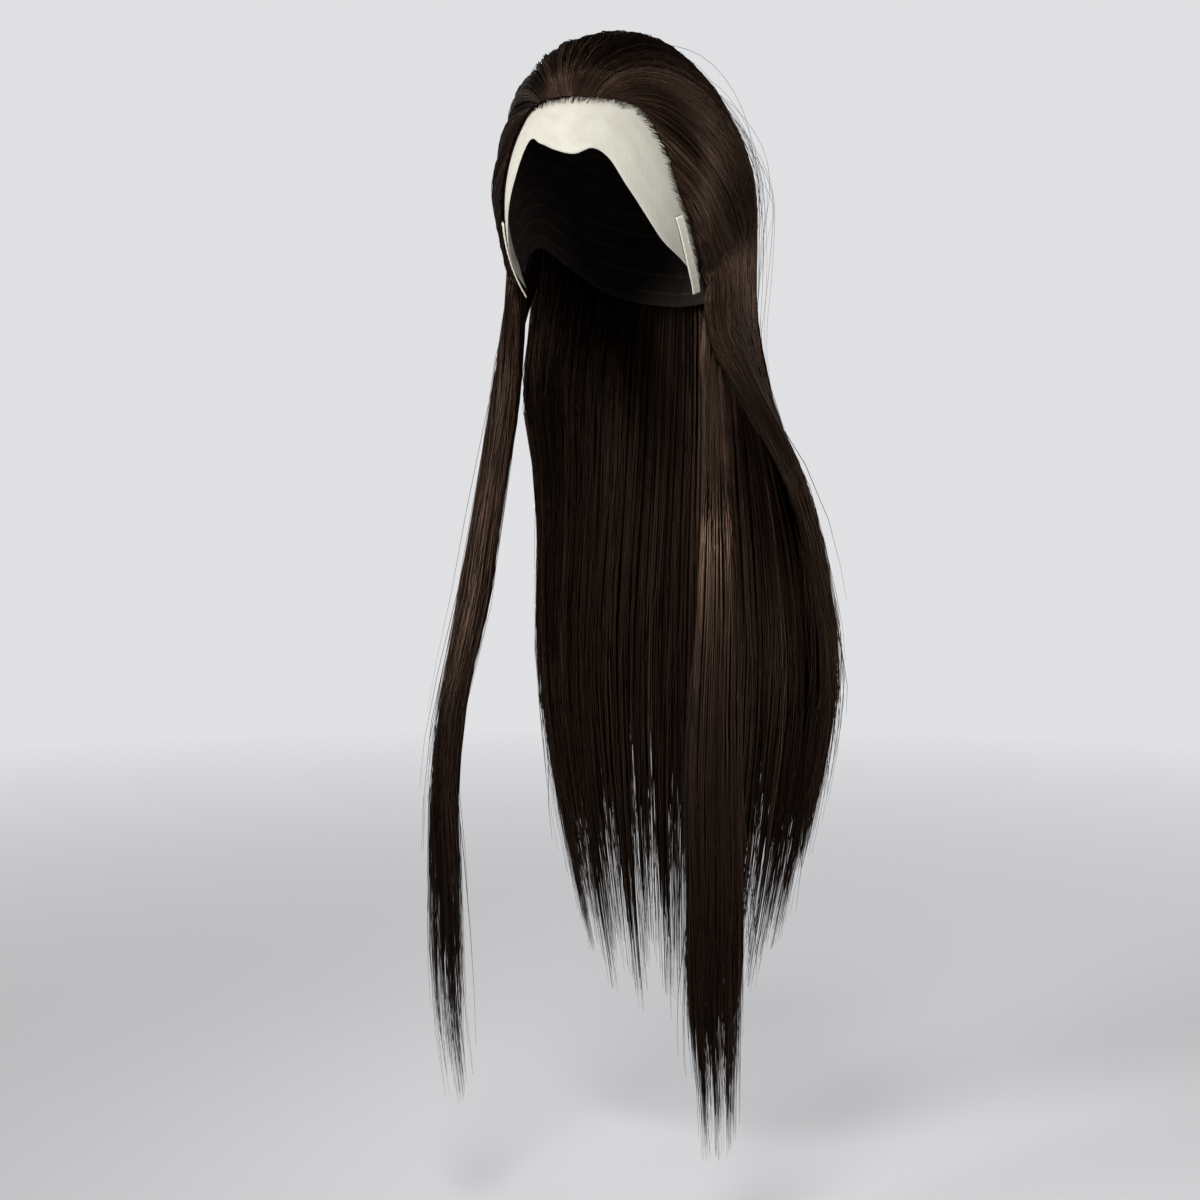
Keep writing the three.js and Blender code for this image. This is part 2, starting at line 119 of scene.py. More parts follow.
BACK_FALL = Table("drop right_x right_y middle_y left_x left_y", [
    (125, -81, 9, 102, 79, -19),
    (170, -84, 10, 105, 79, -20),
    (205, -87, 12, 107, 80, -20),
    (250, -92, 20, 107, 87, 10),
    (312, -97, 52, 103, 100, 60),
    (380, -108, 70, 99, 112, 77),
    (450, -114, 80, 98, 119, 86),
    (530, -106, 84, 96, 110, 88),
    (600, -94, 86, 95, 97, 89),
    (660, -82, 88, 95, 84, 90),
    (730, -66, 90, 95, 68, 91),
])
RIGHT_LOCK = Table("drop x y half_width facing", [
    (140, -80, -4, 14.5, -86),
    (178, -81, -11, 13.5, -76),
    (215, -81, -18, 13.5, -57),
    (249, -80, -24.5, 14.5, -42),
    (285, -79.5, -33, 13.5, -36),
    (321, -82, -43, 12.5, -32),
    (392, -84, -60, 13.5, -30),
    (461, -92, -78, 8, -28),
    (504, -96, -84, 7.5, -27),
    (569, -97, -84, 14, -26),
    (642, -99, -82, 16.5, -24),
    (708, -98, -80, 14, -22),
    (770, -91, -78, 12, -22),
])
LEFT_LOCK = Table("drop x y half_width facing depth", [
    (143.4, 77.4, 8, 6, 86, 2.2),
    (165, 73, 5, 8, 76, 5),
    (208, 70, -4, 8, 58, 8),
    (249, 79, -17, 8, 42, 10),
    (283, 90, -36, 9.5, 34, 12),
    (316, 98, -51, 10.5, 30, 13),
    (383, 104, -60, 14.5, 28, 13),
    (450, 105, -66, 16.5, 28, 13),
    (519, 104, -66, 18.5, 28, 12),
    (588, 104, -64, 18.5, 28, 11),
    (658, 102, -62, 17, 28, 9),
    (714, 103, -60, 14, 28, 7),
    (780, 105, -60, 11, 28, 5),
])
HAIR_DEPTH = Table("rooted depth", [
    (0, 0.9), (14, 5), (40, 7), (75, 6.5), (130, 5), (200, 4.5), (330, 6), (1100, 8),
])
FULLNESS = Table("across times", [(-1, 2.4), (-0.75, 2.2), (-0.4, 2), (-0.1, 1.2), (0.2, 1), (1, 1.3)])
TIP_SHARE = Table("along share", [(1, 1), (1.4, 1), (1.68, 0.76), (1.87, 0.42), (2, 0.14)])


# Places on the head and on the hair

def lerp(a, b, share):
    return a + (b - a) * share


def smooth(value, low, high):
    share = np.clip((value - low) / (high - low), 0, 1)
    return share * share * (3 - 2 * share)


def unit(vectors):
    return vectors / np.maximum(np.linalg.norm(vectors, axis=-1, keepdims=True), 1e-9)


def grid(columns, rows, across=(0, 1), along=(0, 1)):
    """Even places across the columns of a grid and along its rows."""
    return np.meshgrid(np.linspace(*across, columns + 1), np.linspace(*along, rows + 1), indexing="ij")


def direction(bearing, dip):
    """The unit direction of a bearing and a dip."""
    round_, down = np.radians(bearing), np.radians(dip)
    level = np.sin(down)
    return np.stack([level * np.sin(round_), -level * np.cos(round_), np.cos(down)], -1)


def above_head(way, lift):
    """The point that far above the head in a direction from its middle."""
    x, y, z = way[..., 0], way[..., 1], way[..., 2]
    depth = np.where(y < 0, HEAD["front"], HEAD["back"])
    slope = HEAD["side_slope"] * x**2 + HEAD["back_slope"] * np.maximum(y, 0) ** 2
    height = np.where(z > 0, HEAD["height"] - slope, HEAD["height"])
    z = z * (height + lift) - HEAD["height"]
    return np.stack([x * (HEAD["half_width"] + lift), y * (depth + lift), z], -1)


def over_head(lift, across, along):
    """A strand over the head, along from 0 at its root on the hairline to 1 where it starts to fall."""
    side = np.where(across < 0, -1, 1)
    row = COMBING.at(np.abs(across))
    places = ("root", "crest", "fall")
    root, crest, fall = [direction(side * row[place], row[place + "_dip"]) for place in places]
    level = np.hypot(root[..., 0], root[..., 1])
    reach = np.where(root[..., 2] < 0, lerp(level, STAND["off"], STAND["low_root"]), STAND["off"])
    share = along[..., None]
    way = unit(root * (1 - share) ** 2 + crest * 2 * share * (1 - share) + fall * share**2)
    stand = np.maximum(1, reach / np.hypot(way[..., 0], way[..., 1]))
    ease = along**2 * (1 - smooth(np.abs(across), *STAND["edge"]))
    widen = np.where(way[..., 2] < 0, lerp(1, stand, ease), 1)[..., None]
    return above_head(way * np.concatenate([widen, widen, np.ones_like(widen)], -1), lift)


def in_back_fall(across, drop):
    """The inside of the back hair at a drop: a quarter ellipse on each side."""
    row = BACK_FALL.at(drop)
    share = np.where(across < 0, across / FALL_LOCKS["first"], across)
    turn = math.pi / 2 * share
    edge_x, edge_y = [np.where(across < 0, row["right_" + axis], row["left_" + axis]) for axis in "xy"]
    return np.stack([edge_x * np.sin(turn), lerp(row["middle_y"], edge_y, 1 - np.cos(turn)), -drop], -1)


def in_lock(row, share, drop):
    """A place in the middle of a front lock, with a share from -1 to 1 across it."""
    facing = np.radians(row["facing"])
    reach = share * row["half_width"]
    return np.stack([row["x"] + reach * np.cos(facing), row["y"] + reach * np.sin(facing), -drop], -1)


def in_right_lock(across, drop):
    first, last = RIGHT_LOCKS["first"], RIGHT_LOCKS["last"]
    return in_lock(RIGHT_LOCK.at(drop), 1 - 2 * (across - first) / (last - first), drop)


def off_crest(locks, across):
    """0 along the middle of a lock and 1 along the lines between locks."""
    place = (across - locks["first"]) / (locks["last"] - locks["first"]) * locks["count"]
    number = np.clip(np.floor(place + 1e-6), 0, locks["count"] - 1)
    return np.abs(2 * np.clip(place - number, 0, 1) - 1)


def swell(locks, across, ridge):
    """The depth of the hair as a share of its depth along the middle of a lock."""
    return 1 - ridge + ridge * (1 - off_crest(locks, across) ** 2)


def notch(locks, across, fallen):
    """How much shorter the hair is between the tips of the locks."""
    return locks["notch"] * off_crest(locks, across) ** NOTCH["point"] * smooth(fallen, *NOTCH["from"])


def strand(style, across, along):
    """A strand over the head and down. Along is 1 where it starts to fall and 2 at its tip."""
    on_head = over_head(style["lift"], across, np.minimum(along, 1))
    start = over_head(style["lift"], across, np.ones_like(along))
    fallen = np.maximum(along - 1, 0)
    top = -start[..., 2]
    drop = lerp(top, style["reach"](across), fallen) - notch(style["locks"], across, fallen)
    settling = (1 - smooth(drop, top, top + FALL["settles"]))[..., None]
    falling = style["fallen"](across, drop)
    shift = (start - style["fallen"](across, top)) * settling
    shift[..., 2] = 0
    return np.where((along < 1)[..., None], on_head, falling + shift)


class Sheet:
    """Hair on a grid: its inside, the way out of it, its depth, and how far it is from the hairline. Places
    in it are shares across and along, and a layer from 0, inside, to 1, outside."""

    def __init__(self, inside, out, depth, rooted):
        self.inside, self.out, self.depth, self.rooted = inside, out, depth, rooted
        self.columns, self.rows = inside.shape[0] - 1, inside.shape[1] - 1

    def read(self, values, across, along):
        column = np.clip(across, 0, 1) * self.columns
        row = np.clip(along, 0, 1) * self.rows
        c = np.clip(column.astype(int), 0, self.columns - 1)
        r = np.clip(row.astype(int), 0, self.rows - 1)
        u, v = column - c, row - r
        if values.ndim == 3:
            u, v = u[..., None], v[..., None]
        near = lerp(values[c, r], values[c + 1, r], u)
        far = lerp(values[c, r + 1], values[c + 1, r + 1], u)
        return lerp(near, far, v)

    def at(self, across, along, layer):
        inside = self.read(self.inside, across, along)
        out = unit(self.read(self.out, across, along))
        depth = self.read(self.depth, across, along)
        return inside + out * (depth * layer)[..., None]


def way_out(points):
    """The way out of a grid of points, away from the line through the middle of the head."""
    out = unit(np.cross(np.gradient(points, axis=0), np.gradient(points, axis=1)))
    away = points.copy()
    away[..., 2] = np.maximum(points[..., 2] + HEAD["height"], 0)
    turned = np.sign(np.sum(out * away, -1, keepdims=True))
    return out * np.where(turned == 0, 1, turned)


def hairline(lift, steps):
    """Places across the combing, and the points of the hairline there."""
    across = np.linspace(-1, 1, steps)
    return across, over_head(lift, across, np.zeros_like(across))


def from_hairline(lift, points):
    """How far each of a grid of points is from the nearest place on the hairline."""
    line = hairline(lift, HAIRLINE["near"])[1]
    near = [np.linalg.norm(row[:, None, :] - line[None, :, :], axis=-1).min(1) for row in points]
    return np.array(near)


def combed_sheet(style):
    """Hair combed over the head, which falls. At the hairline it comes down to the lace."""
    locks = style["locks"]
    share, along = grid(locks["count"] * locks["columns"], locks["rows"], (0, 1), (0, 2))
    across = lerp(locks["first"], locks["last"], share)
    inside = strand(style, across, along)
    out = way_out(inside)
    rooted = from_hairline(style["lift"], inside)
    on_head = HAIR_DEPTH.at(rooted)["depth"] * FULLNESS.at(across)["times"]
    in_fall = np.minimum(FALL["depth"], FALL["least"] + FALL["grows"] * rooted)
    full = lerp(on_head, in_fall, smooth(along, *FALL["from"])) * TIP_SHARE.at(along)["share"]
    ridged = swell(locks, across, lerp(*COMB["ridges"], along / 2))
    side = smooth(np.minimum(share, 1 - share), *COMB["side"])
    side = lerp(1, side, smooth(along, *COMB["sides_from"]))
    sinking = (style["lift"] - LACE_TOP) * (1 - smooth(rooted, *COMB["sinks"]))
    return Sheet(inside - out * sinking[..., None], out, np.maximum(full * ridged * side, THIN), rooted)


def hanging_sheet():
    """The left front lock, which hangs from the edge of the cap by the ear."""
    share, down = grid(LEFT_LOCKS["count"] * LEFT_LOCKS["columns"], LEFT_LOCKS["rows"])
    across = 2 * share - 1
    drop = lerp(LEFT_LOCK.places[0], LEFT_TIP, down) - notch(LEFT_LOCKS, across, down)
    row = LEFT_LOCK.at(drop)
    ridged = swell(LEFT_LOCKS, across, HANG["ridge"])
    rounded = np.sqrt(1 - HANG["round"] * across**2)
    thin = 1 - smooth(down, *HANG["thins"])
    depth = np.maximum(row["depth"] * ridged * rounded * thin, THIN)
    facing = np.radians(row["facing"])
    out = np.stack([np.sin(facing), -np.cos(facing), np.zeros_like(facing)], -1)
    inside = in_lock(row, across, drop) - out * (depth / 2)[..., None]
    return Sheet(inside, out, depth, np.full_like(depth, HANG["rooted"]))


def back_reach(across):
    return lerp(BACK_TIP["middle"], BACK_TIP["edge"], np.abs(across) ** BACK_TIP["round"])


def right_reach(across):
    return np.full_like(across, RIGHT_TIP)


SWEPT_STYLE = {"locks": FALL_LOCKS, "lift": FALL_LIFT, "fallen": in_back_fall, "reach": back_reach}
RIGHT_STYLE = {"locks": RIGHT_LOCKS, "lift": LOCK_LIFT, "fallen": in_right_lock, "reach": right_reach}
swept = combed_sheet(SWEPT_STYLE)
right = combed_sheet(RIGHT_STYLE)
left = hanging_sheet()


# Trees of nodes

def maths(operation, turned=False):
    """A method of a wire that adds a Math node, with the wire last if it is turned."""
    def method(self, *others):
        values = (*others, self) if turned else (self, *others)
        return self.nodes.add("ShaderNodeMath", {"operation": operation}, dict(enumerate(values)))
    return method


class Wire:
    """What comes out of a node, with the arithmetic that is used on it."""

    __add__ = maths("ADD")
    __radd__ = __add__
    __sub__ = maths("SUBTRACT")
    __rsub__ = maths("SUBTRACT", turned=True)
    __mul__ = maths("MULTIPLY")
    __rmul__ = __mul__
    __gt__ = maths("GREATER_THAN")
    __abs__ = maths("ABSOLUTE")
    sine = maths("SINE")
    most = maths("MAXIMUM")

    def __init__(self, nodes, socket):
        self.nodes, self.socket = nodes, socket

    def beside(self, name):
        """Another output of the same node."""
        return Wire(self.nodes, self.socket.node.outputs[name])


class Nodes:
    """A tree of nodes, with one method that adds any node."""

    def __init__(self, tree):
        self.tree = tree

    def add(self, kind, settings=None, sockets=None, out=0):
        made = self.tree.nodes.new(kind)
        for key, value in (settings or {}).items():
            if key == "stops":
                self.set_stops(made.color_ramp.elements, value)
            else:
                setattr(made, key, value)
        for key, value in (sockets or {}).items():
            self.tie(made.inputs[key], value)
        return Wire(self, made.outputs[out])

    def set_stops(self, elements, stops):
        while len(elements) < len(stops):
            elements.new(0.5)
        for element, (place, colour) in zip(elements, stops):
            element.position = place
            element.color = (*colour, 1)

    def tie(self, socket, value):
        if isinstance(value, Wire):
            self.tree.links.new(value.socket, socket)
        else:
            socket.default_value = value

    def share(self, value, low, high, at_low=0.0, at_high=1.0):
        """What goes evenly from one number, where the value is low, to another, where it is high."""
        sockets = {"Value": value, "From Min": low, "From Max": high, "To Min": at_low, "To Max": at_high}
        return self.add("ShaderNodeMapRange", None, sockets)

    def ramp(self, factor, stops):
        return self.add("ShaderNodeValToRGB", {"stops": stops}, {0: factor})


class Finish(Nodes):
    """A material, whose nodes feed the sockets of its surface."""

    def __init__(self, name):
        self.material = bpy.data.materials.new(name)
        self.material.use_nodes = True
        super().__init__(self.material.node_tree)
        self.surface = self.tree.nodes["Principled BSDF"]

    def set(self, **sockets):
        """Sets or ties the surface's sockets, and gives the material."""
        for name, value in sockets.items():
            self.tie(self.surface.inputs[name.replace("_", " ")], value)
        return self.material

    def map(self, name):
        """The two coordinates of one of the piece's own maps."""
        place = self.add("ShaderNodeUVMap", {"uv_map": name})
        x = self.add("ShaderNodeSeparateXYZ", None, {0: place})
        return x, x.beside("Y")

    def noise(self, x, y, detail=2.0):
        place = self.add("ShaderNodeCombineXYZ", None, {0: x, 1: y, 2: 0.0})
        sockets = {"Vector": place, "Scale": 1.0, "Detail": detail, "Roughness": 0.5}
        return self.add("ShaderNodeTexNoise", {"noise_dimensions": "2D"}, sockets)

    def solid_noise(self, place, scale):
        return self.add("ShaderNodeTexNoise", None, {"Vector": place, "Scale": scale, "Detail": 2.0})

    def object_place(self):
        return self.add("ShaderNodeTexCoord", None, None, "Object")

    def bump(self, height, strength, distance):
        sockets = {"Height": height, "Strength": strength, "Distance": distance}
        return self.add("ShaderNodeBump", None, sockets)


class Maker(Nodes):
    """Geometry nodes with named inputs, which turn a mesh of bare lines into the mesh of a piece."""

    def __init__(self, name, inputs):
        super().__init__(bpy.data.node_groups.new(name, "GeometryNodeTree"))
        self.identifiers = {}
        for title, kind in {"Lines": "Geometry", "Finish": "Material", **inputs}.items():
            self.identifiers[title] = self.socket(title, "INPUT", kind).identifier
        self.socket("Made", "OUTPUT", "Geometry")
        self.given = self.add("NodeGroupInput")

    def socket(self, title, way, kind):
        return self.tree.interface.new_socket(title, in_out=way, socket_type="NodeSocket" + kind)

    def input(self, title):
        return self.given.beside(title)

    def named(self, name):
        return self.add("GeometryNodeInputNamedAttribute", {"data_type": "FLOAT"}, {"Name": name})

    def store(self, geometry, name, value, settings):
        sockets = {"Geometry": geometry, "Name": name, "Value": value}
        return self.add("GeometryNodeStoreNamedAttribute", settings, sockets)

    def end(self, geometry):
        """Ends the tree with real, smooth faces in the finish that is given."""
        soft = self.add("GeometryNodeSetShadeSmooth", None, {"Geometry": geometry})
        real = self.add("GeometryNodeRealizeInstances", None, {"Geometry": soft})
        sockets = {"Geometry": real, "Material": self.input("Finish")}
        made = self.add("GeometryNodeSetMaterial", None, sockets)
        self.tie(self.tree.nodes.new("NodeGroupOutput").inputs[0], made)

    def piece(self, name, lines, inputs):
        """The plain mesh piece that the nodes make of lines, whose own object is then removed."""
        holder = piece_of(name + "_lines", lines)
        modifier = holder.modifiers.new("maker", "NODES")
        modifier.node_group = self.tree
        for title, value in inputs.items():
            modifier[self.identifiers[title]] = value
        graph = bpy.context.evaluated_depsgraph_get()
        mesh = bpy.data.meshes.new_from_object(holder.evaluated_get(graph))
        mesh.name = name
        bpy.data.objects.remove(holder)
        return piece_of(name, mesh)


def piece_of(name, data):
    made = bpy.data.objects.new(name, data)
    bpy.context.scene.collection.objects.link(made)
    return made


# Finishes, with tones from dark to light as stops of a ramp

HAIR_TINT = (1.0, 0.62, 0.43, 1)
HAIR_TONES = [
    (0.0, (0.0008, 0.0003, 0.0002)),
    (0.3, (0.0028, 0.0013, 0.0007)),
    (0.6, (0.0092, 0.0047, 0.0028)),
    (0.85, (0.0260, 0.0146, 0.0094)),
    (1.0, (0.0560, 0.0340, 0.0236)),
]
LACE_TONES = [
    (0.0, (0.09, 0.07, 0.055)),
    (0.15, (0.34, 0.32, 0.265)),
    (0.55, (0.425, 0.408, 0.35)),
    (0.95, (0.49, 0.477, 0.42)),
]
TAPE_TONES = [(0.1, (0.36, 0.335, 0.27)), (0.5, (0.47, 0.45, 0.375)), (0.9, (0.57, 0.55, 0.48))]
THREAD_TONES = [(0.3, (0.52, 0.46, 0.37)), (0.7, (0.72, 0.67, 0.58))]
CAP_TONES = [(0.1, (0.006, 0.0042, 0.0034)), (0.5, (0.017, 0.012, 0.0095)), (1.0, (0.046, 0.034, 0.027))]
LACE_NET = {"width": 300.0, "depth": 120.0, "pitch": 1.15, "turns": (0, 60, 120)}
SEWN_ROWS = 17


def strand_finish():
    """Single strands: each has its own shade, with slow changes along it. Painted shade makes each darker
    towards its tip and near its root, where it is also rougher.
    """
    finish = Finish("hair_strand")
    shade, along = finish.map("strand")
    slow = finish.noise(shade * 40.0, along * 9.0)
    root_shade_and_roughness = finish.share(along, 0.2, 0.02)
    # Painted shade: the tone falls along the strand, so lower hair is darker, and falls again near the root
    tone = shade * 1.2 + (slow - 0.5) * 0.3 - 0.06 - along * 0.26 - root_shade_and_roughness * 0.16
    finish.set(Base_Color=finish.ramp(tone, HAIR_TONES), Roughness=0.2 + slow * 0.24 + root_shade_and_roughness * 0.25)
    return finish.set(Specular_IOR_Level=0.34, Specular_Tint=HAIR_TINT)


def mass_finish():
    """The mass of hair under the strands: fine lines along the combing, with painted shade that makes it a
    shade darker inside the wig and darker further along.
    """
    finish = Finish("hair_mass")
    across, along = finish.map("lay")
    # Marks the inside of the wig, where the map is shifted past 1, for painted shade
    inside = across > 1.0
    fine = finish.noise(across * 760.0, along * 7.0, 3.0)
    broad = finish.noise(across * 90.0, along * 3.0)
    # Painted shade: darker further along the hair and on the inside of the wig
    tone = fine * 0.75 + broad * 0.5 - 0.4 - along * 0.16 - inside * 0.12
    finish.set(Base_Color=finish.ramp(tone, HAIR_TONES), Roughness=0.5 + broad * 0.2)
    finish.set(Normal=finish.bump(fine * 0.7 + broad * 0.5, 0.8, 0.0012))
    return finish.set(Specular_IOR_Level=0.03, Specular_Tint=HAIR_TINT)


def lace_finish():
    """Sheer net: three sets of threads, a thinner film between them, and dark knots by the hairline."""
    finish = Finish("lace_net")
    across, down = finish.map("lay")
    x, y = across * LACE_NET["width"], down * LACE_NET["depth"]
    sets = []
    for turn in LACE_NET["turns"]:
        line = x * math.cos(math.radians(turn)) + y * math.sin(math.radians(turn))
        wave = (line * (2 * math.pi / LACE_NET["pitch"])).sine()
        sets.append(finish.share(wave, 0.15, 0.75))
    threads = sets[0].most(sets[1]).most(sets[2])
    cloudy = finish.noise(x * 0.05, y * 0.05, 3.0)
    distance = finish.add("ShaderNodeAttribute", {"attribute_name": "hairline"}, None, 2)
    near = finish.share(distance, 9.0, 0.5)
    knots = finish.share(finish.noise(x * 0.75, y * 0.75), 0.3, 0.7)
    tone = threads * 0.35 + cloudy * 0.65 - near * near * (0.12 + knots * 0.6)
    finish.set(Base_Color=finish.ramp(tone, LACE_TONES), Roughness=0.78 + threads * 0.1)
    finish.set(Alpha=0.72 + threads * 0.26, Normal=finish.bump(threads, 0.5, 0.0003))
    return finish.set(Specular_IOR_Level=0.2)


def tape_finish():
    """Narrow woven tape: ribs across it, a raised edge and a faint sheen."""
    finish = Finish("ribbon_tape")
    across, along = finish.map("lay")
    ribs = (along * 360.0).sine()
    warp = (across * 75.0).sine()
    selvedge = finish.share(abs(across - 0.5), 0.36, 0.42)
    worn = finish.noise(across * 6.0, along * 14.0, 3.0)
    tone = worn * 0.6 + ribs * 0.08 + warp * 0.06 + selvedge * 0.2
    finish.set(Base_Color=finish.ramp(tone, TAPE_TONES), Roughness=0.5 + worn * 0.2)
    finish.set(Normal=finish.bump(ribs * 0.3 + warp * 0.2 + selvedge * 0.8, 0.5, 0.0002))
    return finish.set(Sheen_Weight=0.25)


def thread_finish():
    finish = Finish("stitch_thread")
    twist = finish.solid_noise(finish.object_place(), 2600.0)
    return finish.set(Base_Color=finish.ramp(twist, THREAD_TONES), Roughness=0.6)


def net_finish():
    """The cap: dark stretch net with the sewn rows that carry the hair."""
    finish = Finish("cap_net")
    around, down = finish.map("lay")
    weave = (around * 2200.0).sine() * 0.5 + (down * 900.0).sine() * 0.5
    sewn = finish.share((down * (2 * math.pi * SEWN_ROWS)).sine(), 0.75, 0.98)
    worn = finish.noise(around * 40.0, down * 14.0, 3.0)
    tone = worn * 0.5 + weave * 0.12 + sewn * 0.3
    finish.set(Base_Color=finish.ramp(tone, CAP_TONES), Roughness=0.8 + worn * 0.15)
    return finish.set(Normal=finish.bump(weave * 0.35 + sewn, 0.7, 0.0006), Specular_IOR_Level=0.16)


hair_strand = strand_finish()
hair_mass = mass_finish()
lace_net = lace_finish()
ribbon_tape = tape_finish()
stitch_thread = thread_finish()
cap_net = net_finish()


# Pieces made from arrays

random = np.random.default_rng(41)
RIMS = [(np.s_[:, 0], False), (np.s_[:, -1], True), (np.s_[0, :], True), (np.s_[-1, :], False)]
FRINGE = {"columns": 3, "uneven": 0.7, "uneven_power": 1.6, "point": 0.3, "point_power": 1.2}
MASS = {"rows": 59, "tip": (-0.2, 0.02), "root": (-2, 26), "side": (-0.004, 0.025), "ridges": 0.16}


def closed_wall(name, outer, inner, material, shift=0):
    """A closed sheet between two grids of points in millimetres. Its map "lay" follows the grid, and may be
    shifted on the inside. Its map "OFBake" has the two sides next to each other."""
    number = np.arange(outer.shape[0] * outer.shape[1]).reshape(outer.shape[:2])
    under = number + number.size
    top = np.stack([number[:-1, :-1], number[:-1, 1:], number[1:, 1:], number[1:, :-1]], -1)
    base = np.stack([under[:-1, :-1], under[1:, :-1], under[1:, 1:], under[:-1, 1:]], -1)
    rims = []
    for edge, turned in RIMS:
        high, low = number[edge], under[edge]
        rim = np.stack([high[:-1], high[1:], low[1:], low[:-1]], -1)
        rims.append(rim[:, ::-1] if turned else rim)
    faces = np.concatenate([top.reshape(-1, 4), base.reshape(-1, 4), *rims])
    points = np.concatenate([outer.reshape(-1, 3), inner.reshape(-1, 3)]) * MM
    mesh = bpy.data.meshes.new(name)
    mesh.from_pydata(points.tolist(), [], faces.tolist())
    lay = np.stack(grid(outer.shape[0] - 1, outer.shape[1] - 1), -1).reshape(-1, 2)
    both = np.concatenate([lay, lay + (shift, 0)])
    apart = np.concatenate([lay * (0.5, 1), lay * (0.5, 1) + (0.5, 0)])
    for title, values in (("lay", both), ("OFBake", apart)):
        layer = mesh.uv_layers.new(name=title)
        layer.data.foreach_set("uv", values[faces.reshape(-1)].astype(np.float32).reshape(-1))
    mesh.materials.append(material)
    work = bmesh.new()
    work.from_mesh(mesh)
    bmesh.ops.remove_doubles(work, verts=work.verts, dist=1e-6)
    bmesh.ops.recalc_face_normals(work, faces=work.faces)
    work.to_mesh(mesh)
    work.free()
    mesh.shade_smooth()
    return piece_of(name, mesh)


def cloth_piece(name, way, cloth, material):
    """Cloth over the head, in a grid of directions."""
    return closed_wall(name, above_head(way, cloth["outside"]), above_head(way, cloth["inside"]), material)


def cap_piece():
    bearing, down = grid(CAP["columns"], CAP["rows"], (-180, 180))
    way = direction(bearing, down * CAP_EDGE.at(np.abs(bearing))["dip"])
    return cloth_piece("cap_cloth", way, CAP, cap_net)


def lace_piece():
    """The lace, with how far each of its points is from the hairline."""
    bearing, across = grid(LACE["columns"], LACE["rows"], (-LACE["reach"], LACE["reach"]))
    back = CAP_EDGE.at(np.abs(bearing))["dip"] + LACE["seam"]
    way = direction(bearing, lerp(back, LACE_EDGE.at(bearing)["dip"], across))
    lace = cloth_piece("lace_sheet", way, LACE, lace_net)
    points = np.array([vertex.co for vertex in lace.data.vertices]) / MM
    distance = lace.data.attributes.new("hairline", "FLOAT", "POINT")
    distance.data.foreach_set("value", from_hairline(LACE["outside"], points[None])[0].astype(np.float32))
    return lace


def on_tab(side, across, along, lift):
    """A place on an ear tab, on the left for a side of 1 and on the right for -1."""
    def middle(share):
        row = TAB_LINE.at(share)
        return above_head(direction(side * row["bearing"], row["dip"]), lift)
    here = middle(along)
    ahead = unit(middle(np.minimum(along + TAB["step"], 1)) - middle(np.maximum(along - TAB["step"], 0)))
    outwards = unit(here + (0, 0, HEAD["height"]))
    sideways = unit(np.cross(ahead, outwards))
    return here + sideways * ((across - 0.5) * TAB["width"])[..., None]


def tab_piece(name, side):
    across, along = grid(TAB["columns"], TAB["rows"])
    outer, inner = [on_tab(side, across, along, TAB[face]) for face in ("outside", "inside")]
    return closed_wall(name, outer, inner, ribbon_tape)


def fringe(columns):
    """How much of its fringe the mass of hair lacks at each column, so that it ends in uneven points."""
    place = np.arange(columns + 1) / FRINGE["columns"]
    number = np.floor(place).astype(int)
    off = np.abs(2 * (place - number) - 1)
    shorter = random.uniform(0, 1, number[-1] + 1) ** FRINGE["uneven_power"]
    return FRINGE["uneven"] * shorter[number] + FRINGE["point"] * off ** FRINGE["point_power"]


def ridges(place, along):
    """Low ridges along the mass of hair, which wander and differ in height."""
    wave = 0.5 + 0.5 * np.sin(place * 1.9 + 3.0 * np.sin(along * 5 + place * 0.07))
    return wave * (0.6 + 0.4 * np.sin(place * 0.31 + 2.0))


def mass_piece(name, sheet, layers, start, fringed):
    """The mass of hair between two layers of a sheet, from a start to a fringe, both shares along it."""
    share, row = grid(sheet.columns, MASS["rows"])
    end = fringed[1] - (fringed[1] - fringed[0]) * fringe(sheet.columns)[:, None]
    along = lerp(start, end, row)
    thinning = 1 - smooth(along, end + MASS["tip"][0], end + MASS["tip"][1])
    thinning = thinning * smooth(sheet.read(sheet.rooted, share, along), *MASS["root"])
    thinning = thinning * smooth(np.minimum(share, 1 - share), *MASS["side"])
    half = (layers[1] - layers[0]) / 2 * thinning
    middle = layers[0] + half
    ridged = half * (1 - MASS["ridges"] * ridges(share * sheet.columns, along))
    outer = sheet.at(share, along, middle + ridged)
    inner = sheet.at(share, along, middle - half)
    # The inside of the map is shifted by 1 so that the hair mass finish can paint shade on the inside
    return closed_wall(name, outer, inner, hair_mass, 1)


# Strands and stitches, made by geometry nodes

STRAND_INPUTS = {"Sides": 3, "Shade spread": 0.012, "Finish": hair_strand}
STITCH_INPUTS = {
    "Count": STITCH["count"], "Length": STITCH["length"] * MM, "Width": STITCH["wide"] * MM,
    "Finish": stitch_thread,
}


